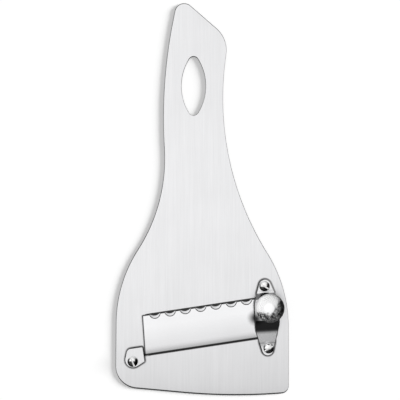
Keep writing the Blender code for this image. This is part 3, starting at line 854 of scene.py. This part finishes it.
def make_blade():
    lean = math.tan(blade_end_lean) * blade_width / 2
    ends = (left_u - lean, right_u + lean)
    section = blade_section()
    blade = loft("scalloped_blade", [[(u, p.x, p.y) for p in section] for u in ends], hinge_frame)
    low = -blade_thickness - overrun
    high = blade_top + overrun
    cut(blade, end_cutter("left_end_cutter", left_u, -1, low, high))
    cut(blade, end_cutter("right_end_cutter", right_u, 1, low, high))
    front = edge_arm + overrun
    beside = rectangle(
        (right_u - tongue_length, right_u + lean + overrun), (edge_arm - tongue_setback, front)
    )
    tongue = filleted(list(zip(beside, (tongue_corner_radius, 0, 0, 0))))
    cut(blade, prism("tongue_cutter", tongue, low, high, hinge_frame))
    cut(blade, scallop_cutter(front))
    neck_place = hinge_frame @ Matrix.Translation((spindle_in_blade.x, spindle_arm, 0))
    neck_hole = circle(neck_radius + neck_clearance)
    cut(blade, prism("neck_cutter", neck_hole, low, high, neck_place))
    pin_place = hinge_frame @ Matrix.Translation((keeper_edge_u + keeper_gap + pivot_pin_root, 0, 0))
    pin_place = pin_place @ Matrix.Rotation(-math.pi / 2, 4, "Y")
    pin = circle(pivot_pin_radius, steps=pin_steps)
    cut(blade, prism("pivot_pin", pin, 0, pivot_pin_length + pivot_pin_root, pin_place), "UNION")
    settle(blade, sharp_angle=math.radians(32), flat_turn=math.radians(0.5))
    back = hinge_frame.inverted()
    ground_from = edge_arm - scallop_face_depth
    for face in blade.data.polygons:
        # Steep scallop walls take the near-black cut-edge colour, painted shade.
        if face.use_smooth and (back @ face.center).y > ground_from:
            face.material_index = 1 if face.normal.z > math.cos(scallop_steep) else 2
    along = brushed(blade_skew - math.pi / 2, 7.0, 0.05)
    material = steel(
        "polished_blade_steel", (0.86, 0.86, 0.87), 0.17, along, line_tone=0.012, line_rough=0.03,
        relief=0.001 * MM, tone_and_painted_shade=blade_shade,
    )
    across = brushed(blade_skew, 6.0, 0.5)
    ground = steel(
        "hollow_ground_steel", (0.62, 0.62, 0.63), 0.3, across, line_tone=0.05, relief=0.002 * MM
    )
    dress(blade, "blade", "blade", "polished_blade", material, ground, cut_edge_shade)


def make_keeper():
    corners = [
        (Vector((keeper_reach, keeper_rise)), keeper_corner_radius),
        (Vector((-keeper_reach * keeper_back_share, keeper_rise)), keeper_back_radius),
        (keeper_eye_radius * Vector(keeper_eye_shares), keeper_eye_radius),
        (Vector((keeper_reach, -keeper_reach * keeper_foot_share)), keeper_corner_radius),
    ]
    place = blade_frame @ Matrix.Translation((keeper_screw_u, keeper_screw_v, 0))
    keeper = sheet(
        "keeper_plate", filleted(corners), [circle(screw_radius + seat_gap)], keeper_bottom, keeper_top,
        keeper_back_rim, rims(**keeper_rims), lambda outward: ring_rim, place,
    )
    radius = pivot_pin_radius + running_gap
    groove = arc(Vector((0, hinge_level)), radius, 0, math.pi)
    below = keeper_bottom - overrun
    groove += [Vector((-radius, below)), Vector((radius, below))]
    inner = keeper_edge_u + keeper_gap - pivot_pin_length - running_gap
    rings = [[(u, hinge_v + p.x, p.y) for p in groove] for u in (inner, keeper_edge_u + overrun)]
    cut(keeper, loft("groove_cutter", rings, blade_frame))
    settle(keeper, sharp_angle=math.radians(50))
    even_normals(keeper)
    material = steel(
        "keeper_steel", (0.76, 0.76, 0.77), 0.32, brushed(0), line_tone=0.02, line_rough=0.02
    )
    dress(keeper, "slicer_body", "blade_keeper", "keeper", material, cut_edge_shade)


def make_bridge():
    half = bridge_thickness / 2
    beyond = bridge_length / 2 + overrun
    bends = (
        (beyond, foot_bottom, 0),
        (front_foot_bend, foot_bottom, bridge_bend_radius),
        (front_shoulder_bend, plateau_bottom, bridge_bend_radius),
        (rear_shoulder_bend, plateau_bottom, bridge_bend_radius),
        (ramp_top_bend, ramp_bottom, bridge_sweep_radius),
        (ramp_foot_bend, foot_bottom, bridge_bend_radius),
        (-beyond, foot_bottom, 0),
    )
    middle = filleted([(Vector((y, level + half)), radius) for y, level, radius in bends], closed=False)
    upper, lower = [], []
    for i, point in enumerate(middle):
        before = unit(point - middle[i - 1]) if i else unit(middle[1] - point)
        after = unit(middle[i + 1] - point) if i + 1 < len(middle) else before
        along = unit(before + after)
        normal = Vector((along.y, -along.x)) / along.dot(before)
        upper.append(point + half * normal)
        lower.append(point - half * normal)
    section = upper + lower[::-1]
    side = bridge_width / 2 + overrun
    rings = [[(x, p.x, p.y) for p in section] for x in (-side, side)]
    bridge = loft("bridge_strap", rings, bridge_frame)
    outline = outlined(bridge_corner_shares, bridge_width / 2, bridge_length, bridge_width)
    cut(bridge, prism("outline_tool", outline, 0, plateau_top + overrun, bridge_frame), "INTERSECT")
    for name, along, across, radius in (
        ("upper_ear_cutter", bridge_screw_spacing / 2, 0, screw_radius),
        ("lower_ear_cutter", -bridge_screw_spacing / 2, 0, screw_radius),
        ("bush_cutter", spindle_from_middle, spindle_aside, bush_spigot_radius),
    ):
        hole = circle(radius + seat_gap, Vector((across, along)))
        cut(bridge, prism(name, hole, 0, plateau_top + overrun, bridge_frame))
    settle(bridge, rim=bridge_rim, rim_angle=math.radians(45), clamped=False)
    even_normals(bridge)
    material = steel(
        "bridge_steel", (0.84, 0.84, 0.85), 0.28, brushed(bridge_lean, 6.0, 0.08), line_tone=0.015,
        line_rough=0.04, relief=0.002 * MM, tone_and_painted_shade=bridge_shade,
    )
    # The bridge's cut edges in near-black, painted shade.
    edge = dull_steel(
        "bridge_edge_painted_shade", (0.9, 0.9, 0.9), lambda nodes: toned(nodes, bridge_frame, 1, bridge_edge_shade_tones)
    )
    mark_rims(bridge, outline, bridge_rim_reach, bridge_frame)
    dress(bridge, "slicer_body", "bridge", "bridge", material, edge)


def screw_shade(nodes, place, rim_start, side_start):
    """A screw head's painted shade: black down its lower and right sides and along its rim; its top is left
    as it is.
    """
    def by_place(axis, stops):
        return toned(nodes, Matrix.Translation(place), axis, stops)

    ends = rim_start * screw_head_radius, (rim_start + screw_rim_fade) * screw_head_radius
    rim = nodes.spread(away_from(nodes, place), 0.0, 1.0, *ends)
    rim_share = nodes.product(rim, by_place(1, screw_below_top))
    side = stops_in(screw_head_radius, (side_start, screw_side_shade), (side_start + screw_side_fade, 1.0))
    right = nodes.maths("MAXIMUM", by_place(0, screw_right_shade_tones), by_place(1, screw_top))
    return nodes.product(nodes.spread(rim_share, 1.0, screw_rim_shade), by_place(1, side), right)


def make_screw(name, node, under_head, place, slot_turn, rim_start=0.72, side_start=-0.15):
    """A slotted round-head screw whose head sits just above the given level."""
    seat = under_head + seat_gap
    top = seat + screw_head_height
    slot_floor = top - screw_slot_depth
    profile = [
        (0, screw_end_recess), (screw_radius - screw_end_bevel, screw_end_recess),
        (screw_radius, screw_end_recess + screw_end_bevel), (screw_radius, seat),
        (screw_head_radius - screw_head_rim, seat), (screw_head_radius, seat + screw_head_rim),
    ]
    dome_level = seat + screw_head_side
    profile += bulge(screw_head_radius, top - dome_level, dome_level, 0, math.pi / 2, screw_dome_rows)
    profile.append((0, top))
    location = Matrix.Translation(place)
    screw = revolve(name, profile, location)
    long, half = screw_head_radius + overrun, screw_slot_width / 2
    slot = rectangle((-long, long), (-half, half))
    turned = location @ Matrix.Rotation(slot_turn, 4, "Z")
    cut(screw, prism(name + "_slot", slot, slot_floor, top + overrun, turned))
    settle(screw, rim=screw_slot_rim, rim_angle=math.radians(32))
    for face in screw.data.polygons:
        if face.normal.z > level_normal and abs(face.center.z - slot_floor) < screw_slot_rim:
            face.material_index = 1
    even_normals(screw)
    material = steel(
        name + "_finish", (0.84, 0.84, 0.84), 0.1, lathed(9.0, place), line_tone=0.02, line_rough=0.04,
        relief=0.001 * MM, tone_and_painted_shade=lambda nodes: screw_shade(nodes, place, rim_start, side_start),
    )
    floor = steel(name + "_slot_floor", (0.84, 0.84, 0.84), 0.35, brushed(slot_turn, 8.0, 0.3))
    dress(screw, "slicer_body", node, "screws", material, floor)


def ring_profile(bore, radius, bottom, top):
    rim = ring_rim
    return [
        (bore, bottom + rim), (bore + rim, bottom), (radius - rim, bottom), (radius, bottom + rim),
        (radius, top - rim), (radius - rim, top), (bore + rim, top), (bore, top - rim),
    ]


def make_ring(name, node, body, profile):
    ring = revolve(name, profile, spindle_frame, closed=True)
    ring.data.set_sharp_from_angle(angle=math.radians(30))
    material = steel(name + "_finish", (0.74, 0.74, 0.75), 0.26, lathed(12.0))
    dress(ring, body, node, "spindle", material)


def make_bush():
    bore = spindle_radius + thread_gap
    flange_top = bush_level + bush_flange_height
    profile = ring_profile(bore, bush_radius, bush_level, flange_top)[:6]
    profile.append((bush_spigot_radius, flange_top))
    profile += ring_profile(bore, bush_spigot_radius, flange_top, bush_top)[4:]
    make_ring("bush_ring", "threaded_bush", "slicer_body", profile)


def make_spindle():
    groove = neck_radius - groove_depth
    bevel = spindle_end_bevel
    top = knob_level + knob_bore_depth - running_gap
    clip_top = clip_level + clip_thickness
    profile = [
        (0, spindle_end_level), (neck_radius - neck_end_bevel, spindle_end_level),
        (neck_radius, spindle_end_level + neck_end_bevel), (neck_radius, clip_level - groove_gap),
        (groove, clip_level - groove_gap), (groove, clip_top + groove_gap),
        (neck_radius, clip_top + groove_gap), (neck_radius, shoulder_level),
        (spindle_radius - bevel, shoulder_level), (spindle_radius, shoulder_level + bevel),
    ]
    first_thread_row = len(profile)
    low = shoulder_level + bevel
    high = top - bevel
    count = round(thread_rows_per_turn * (high - low) / thread_pitch)
    profile += [(spindle_radius, low + (high - low) * (k + 1) / (count + 1)) for k in range(count)]
    last_thread_row = len(profile)
    profile += [(spindle_radius, high), (spindle_radius - bevel, top), (0, top)]

    def thread(row, angle):
        """A right-handed groove between the end bevels, its depth by the place along the pitch."""
        if not first_thread_row <= row < last_thread_row:
            return 0
        turns = (profile[row][1] - low) / thread_pitch - angle / (2 * math.pi)
        return thread_depth * (1 - abs(2 * (turns % 1) - 1))

    spindle = revolve("threaded_spindle", profile, spindle_frame, relief=thread)
    spindle.data.set_sharp_from_angle(angle=math.radians(40))
    material = steel("spindle_steel", (0.76, 0.76, 0.77), 0.24, lathed(12.0))
    dress(spindle, "knob_and_spindle", "adjusting_screw", "spindle", material)


def make_clip():
    inner = neck_radius - groove_depth + groove_gap
    turn = 2 * math.pi - clip_opening
    outline = arc(origin, clip_radius, clip_opening / 2, turn)
    outline += arc(origin, inner, clip_opening / 2 + turn, -turn)
    clip = prism("spring_clip", outline, clip_level, clip_level + clip_thickness, spindle_frame)
    settle(clip, rim=ring_rim, rim_angle=math.radians(50))
    even_normals(clip)
    material = steel("spring_steel", (0.52, 0.52, 0.54), 0.34, lathed(8.0))
    dress(clip, "knob_and_spindle", "retaining_clip", "spring_clip", material)


def knob_side():
    """(radius, height) points up the knob's bowl, upright band and flattened dome, all evenly spaced."""
    dome_level = knob_belt_height + knob_band_height
    foot_angle = math.acos(knob_foot_radius / knob_radius)
    bowl_height = (knob_belt_height - knob_foot_height) / math.sin(foot_angle)
    dense = bulge(knob_radius, bowl_height, knob_belt_height, -foot_angle, 0, knob_rows)
    dense.append((knob_radius, knob_belt_height))
    dense += bulge(knob_radius, knob_height - dome_level, dome_level, 0, math.pi / 2, 2 * knob_rows)
    dense.append((0, knob_height))
    runs = [0]
    for before, after in zip(dense, dense[1:]):
        runs.append(runs[-1] + math.dist(before, after))
    wanted = np.linspace(0, runs[-1], knob_rows)
    radii = np.interp(wanted, runs, [p[0] for p in dense])
    heights = np.interp(wanted, runs, [p[1] for p in dense])
    return list(zip(radii.tolist(), heights.tolist()))[:-1], runs[-1] / (knob_rows - 1)


def knob_shade(nodes):
    """Painted shade in the knurl's grooves, and painted shade with speckled glints on the knob's right and
    front.
    """
    leaning = spindle_frame @ Matrix.Rotation(knob_unshaded_lean, 4, "Z")
    unshaded = nodes.product(
        toned(nodes, leaning, 0, knob_unshaded_left), toned(nodes, spindle_frame, 1, knob_unshaded_rear)
    )
    sunk = nodes.add("ShaderNodeAttribute", attribute_name="sunk")["Fac"]
    unshaded_groove = toned(nodes, Matrix.Identity(4), 2, unshaded_groove_shade)
    groove = nodes.spread(unshaded, groove_shade, unshaded_groove)
    glints = nodes.noise(nodes.place(), knurl_glint_per_mm / MM, 1.0)
    glints = nodes.spread(glints, *knurl_glint_tones, *knurl_glint_range)
    return nodes.product(
        nodes.spread(nodes.spread(sunk, 0.0, 1.0, *groove_range), 1.0, groove),
        toned(nodes, spindle_frame, 0, knob_right_shade_tones), toned(nodes, spindle_frame, 1, knob_front_shade_tones),
        nodes.spread(unshaded, glints, 1.0),
    )


def make_knob():
    bore = spindle_radius + seat_gap
    profile = [(0, knob_bore_depth), (bore, knob_bore_depth), (bore, 0), (knob_foot_radius - seat_gap, 0)]
    first = len(profile)
    side, step = knob_side()
    profile += side
    profile.append((0, knob_height))
    pitch = 2 * math.pi * knob_radius / knurl_count

    def knurl(row, angle):
        """Crossed grooves, fading out towards the crown."""
        if not first <= row < first + len(side):
            return 0
        share = profile[row][0] / knob_radius
        fade = min(1, max(0, (share - knurl_top_share) / (knurl_full_share - knurl_top_share)))
        if profile[row][1] > knob_belt_height + knob_band_height:
            depth = knurl_dome_share * knurl_depth * fade * fade * (3 - 2 * fade)
        else:
            depth = knurl_depth
        around = knurl_count * angle / (2 * math.pi)
        up = (row - first) * step / pitch
        grooves = [abs(2 * ((around + way * up) % 1) - 1) for way in (1, -1)]
        return depth * max(grooves)

    place = spindle_frame @ Matrix.Translation((0, 0, knob_level))
    knob = revolve("knurled_knob", profile, place, steps=knurl_count * knurl_steps, relief=knurl)
    knob.data.set_sharp_from_angle(angle=math.radians(40))
    material = steel(
        "knob_finish", (0.97, 0.97, 0.97), 0.30, lathed(7.0), line_tone=0.015, line_rough=0.01,
        relief=0.0015 * MM, tone_and_painted_shade=knob_shade,
    )
    dress(knob, "knob_and_spindle", "knob", "knob", material)


# Tones along a piece, by (place, tone) stops, most of them painted shade

def stops_in(unit, *stops):
    return [(place * unit, tone) for place, tone in stops]


# Painted shade on the plate, darker towards its front end.
plate_shade_tones = stops_in(
    MM, (-102.0, 0.76), (-96.0, 0.82), (-88.7, 0.86), (-73.0, 0.92), (-60.0, 0.95), (-45.0, 0.965),
    (-26.0, 0.97), (0, 0.975), (30.0, 0.965), (46.0, 0.955), (77.0, 0.93), (95.0, 0.925),
)
streak_scales = (1.0 / MM, 0.03 / MM)
streak_tone = 0.026
# A painted shadow line on the plate just behind the blade's rear edge.
rear_shadow = (-11.0 * MM, -9.6 * MM)
rear_shadow_reach = (left_u + 1.0 * MM, right_u - 5.0 * MM)
rear_shadow_fade = 0.25 * MM
rear_shadow_tone = 0.12
# Painted contact shade on the plate beside the pieces lying on it, as (reach, depth).
painted_contact_shade = (1.0 * MM, 4.0)

# Painted shade on the blade: a dark left end, and a fall to a near-black rear edge.
blade_end_shade_tones = stops_in(MM, (0, 0.1), (0.5, 0.15), (0.75, 1.0))
blade_rear_shade_tones = stops_in(
    MM, (-10.5, 0.03), (-9.6, 0.05), (-9.35, 0.58), (-8.75, 0.62), (-8.2, 0.69), (-7.2, 0.79), (-6.0, 0.85),
    (4.0, 0.99), (10.0, 1.0),
)
# The knob's painted shadow on the blade and bridge.
knob_shadow_place = (27.6 * MM, -61.5 * MM)
knob_shadow_core, knob_shadow_reach = 0.4 * MM, 5.0 * MM
knob_shadow_tone = 0.04

# Painted shade along the bridge: dark bands at its bends and steep rises.
bridge_shade_tones = stops_in(
    MM, (-20.5, 0.93), (-16.6, 0.92), (-15.7, 0.84), (-15.1, 0.70), (-14.5, 0.58), (-14.0, 0.52),
    (-13.7, 0.56), (-13.2, 0.70), (-12.6, 1.0), (-8.6, 1.0), (-7.6, 0.62), (-6.8, 0.12), (-6.0, 0.04),
    (-1.2, 0.03), (-0.6, 1.0),
) + [
    (front_shoulder_bend - 0.5 * MM, 1.0), (front_shoulder_bend, 0.22),
    (front_foot_bend - 0.2 * MM, 0.25), (front_foot_bend + 0.4 * MM, 1.0),
]
# Painted shade along the bridge's cut edges.
bridge_edge_shade_tones = stops_in(MM, (-4.0, 0.03), (4.0, 0.09), (9.0, 0.12), (13.0, 0.28))

# Painted shade on the screw heads.
screw_rim_shade = 0.1
screw_rim_fade = 0.14
screw_side_shade = 0.06
screw_side_fade = 0.23
screw_below_top = stops_in(screw_head_radius, (0.4, 1.0), (0.8, 0.0))
screw_right_shade_tones = stops_in(screw_head_radius, (0.42, 1.0), (0.56, screw_side_shade))
screw_top = stops_in(screw_head_radius, (0.45, 0.0), (0.75, 1.0))

# Painted shade on the knob: in the knurl's grooves and on its right and front; its upper left is left
# unshaded.
groove_range = (0.13 * MM, 0.20 * MM)
groove_shade = 0.03
knob_dome_level = knob_level + knob_belt_height + knob_band_height
unshaded_groove_shade = [(knob_dome_level, 0.45), (knob_dome_level + 0.8 * MM, 1.0)]
knob_unshaded_lean = math.radians(-33.5)
knob_unshaded_left = stops_in(knob_radius, (0.16, 1.0), (0.34, 0.0))
knob_unshaded_rear = stops_in(knob_radius, (-0.38, 0.0), (-0.18, 1.0))
knob_right_shade_tones = stops_in(knob_radius, (0.40, 1.0), (0.80, 0.16))
knob_front_shade_tones = stops_in(knob_radius, (-0.85, 0.45), (-0.45, 1.0))
# Painted glints and shade, speckled over the knob's shaded side.
knurl_glint_per_mm = 0.75
knurl_glint_range = (0.38, 0.62)
knurl_glint_tones = (0.10, 1.1)


# Stage, light and camera

camera_height = 520 * MM
view_width = 208 * MM
view_centre = (-1.12 * MM, -0.31 * MM)
sensor_width = 36
key_azimuth = math.radians(145)
key_tilt = math.radians(35)
key_range = (0.16, 0.46)
key_level = 1.13
lamp_azimuth = math.radians(140)
lamp_tilt = math.radians(62)
lamp_range = (0.65, 0.88)
lamp_level = 0.3
wall_range = (0.5, 0.68)
wall_turn = (-0.7, 0.7)
wall_dim, wall_bright = 0.6, 1.0
side_range = (0.45, 0.60)
side_level = 0.2
slope_range = (0.55, 0.9)
slope_level = 0.84
dark_level = 0.02
fill_level = 0.2
floor_size = 4.0
floor_tone = 0.9
floor_glow = 0.38
floor_reflected = 0.03
window_shade = 0.07
sun_strength = 4.2
sun_azimuth = math.radians(12)
sun_tilt = math.radians(68)
sun_size = math.radians(28)


def aimed(azimuth, tilt):
    return (math.cos(azimuth) * math.sin(tilt), math.sin(azimuth) * math.sin(tilt), math.cos(tilt))


def make_world():
    """White to the camera. In reflections, a bright ceiling leans to the upper left over dimmer walls."""
    world = bpy.data.worlds.new("studio")
    bpy.context.scene.world = world
    world.use_nodes = True
    world.node_tree.nodes.clear()
    nodes = Nodes(world.node_tree)
    direction = nodes.add("ShaderNodeTexCoord")["Generated"]
    across, _, height = nodes.add("ShaderNodeSeparateXYZ", {0: direction}).values()

    def facing(azimuth, tilt):
        return nodes.vector("DOT_PRODUCT", direction, aimed(azimuth, tilt))

    def rising(value, span, low, high):
        return nodes.spread(value, low, high, *span, "SMOOTHSTEP")

    key = facing(key_azimuth, key_tilt)
    ceiling = nodes.product(
        rising(key, key_range, dark_level, key_level), nodes.spread(key, slope_level, 1.0, *slope_range),
        rising(across, side_range, 1.0, side_level),
    )
    lamp = rising(facing(lamp_azimuth, lamp_tilt), lamp_range, 0.0, lamp_level)
    wall = rising(facing(key_azimuth, math.pi / 2), wall_turn, wall_dim, wall_bright)
    room = nodes.mix(rising(height, wall_range, 0.0, 1.0), wall, nodes.maths("ADD", ceiling, lamp))
    path = nodes.add("ShaderNodeLightPath")
    seen = nodes.mix(path["Is Diffuse Ray"], room, fill_level)
    level = nodes.mix(path["Is Camera Ray"], seen, 1.0)
    shader = nodes.add("ShaderNodeBackground", {"Color": (1, 1, 1, 1), "Strength": level})[0]
    nodes.add("ShaderNodeOutputWorld", {"Surface": shader})


def make_floor():
    span = (-floor_size / 2, floor_size / 2)
    floor = add_mesh("floor", [p.to_3d() for p in rectangle(span, span)], [(0, 1, 2, 3)])
    material, nodes = new_material("floor_paper")
    material.node_tree.nodes.clear()
    shade = shaded_within(nodes, window_u, window_v, seat_gap, window_shade)
    diffuse = nodes.add("ShaderNodeBsdfDiffuse", {"Color": nodes.product(shade, floor_tone)})[0]
    glow = nodes.add("ShaderNodeEmission", {"Strength": nodes.product(shade, floor_glow)})[0]
    both = nodes.add("ShaderNodeAddShader", {0: diffuse, 1: glow})[0]
    reflected = nodes.add("ShaderNodeEmission", {"Strength": floor_reflected})[0]
    glossy = nodes.add("ShaderNodeLightPath")["Is Glossy Ray"]
    seen = nodes.add("ShaderNodeMixShader", {0: glossy, 1: both, 2: reflected})[0]
    nodes.add("ShaderNodeOutputMaterial", {"Surface": seen})
    floor.data.materials.append(material)


def make_light():
    """Soft light from the right, which lays the shadow on the left."""
    light = bpy.data.lights.new("window_light", "SUN")
    light.energy = sun_strength
    light.angle = sun_size
    lamp = bpy.data.objects.new("window_light", light)
    bpy.context.scene.collection.objects.link(lamp)
    lamp.rotation_mode = "QUATERNION"
    lamp.rotation_quaternion = Vector(aimed(sun_azimuth, sun_tilt)).to_track_quat("Z", "Y")
    lamp.visible_glossy = False


def make_camera():
    camera = bpy.data.cameras.new("camera")
    camera.sensor_width = sensor_width
    camera.lens = sensor_width * camera_height / view_width
    obj = bpy.data.objects.new("camera", camera)
    obj.location = (*view_centre, plate_top + camera_height)
    bpy.context.scene.collection.objects.link(obj)
    bpy.context.scene.camera = obj


# Cut edges in near-black: painted shade standing for the dark gaps and shadows along them.
cut_edge_shade = dull_steel("cut_edge_painted_shade", (0.04, 0.04, 0.041))
make_camera()
make_world()
make_floor()
make_light()
make_plate()
make_blade()
make_keeper()
make_screw(
    "keeper_slotted_screw", "keeper_screw", keeper_top, keeper_eye, keeper_slot_turn, rim_start=0.62,
    side_start=0.08,
)
make_bridge()
make_screw("upper_slotted_screw", "upper_bridge_screw", foot_top, ears[0], upper_slot_turn)
make_screw("lower_slotted_screw", "lower_bridge_screw", foot_top, ears[1], lower_slot_turn)
make_bush()
for name, node, level in (
    ("upper_thin_washer", "upper_washer", upper_washer_level),
    ("lower_thin_washer", "lower_washer", lower_washer_level),
):
    profile = ring_profile(neck_radius + thread_gap, washer_radius, level, level + washer_thickness)
    make_ring(name, node, "spindle_washers", profile)
make_spindle()
make_clip()
make_knob()

bpy.context.scene.view_settings.view_transform = "Standard"
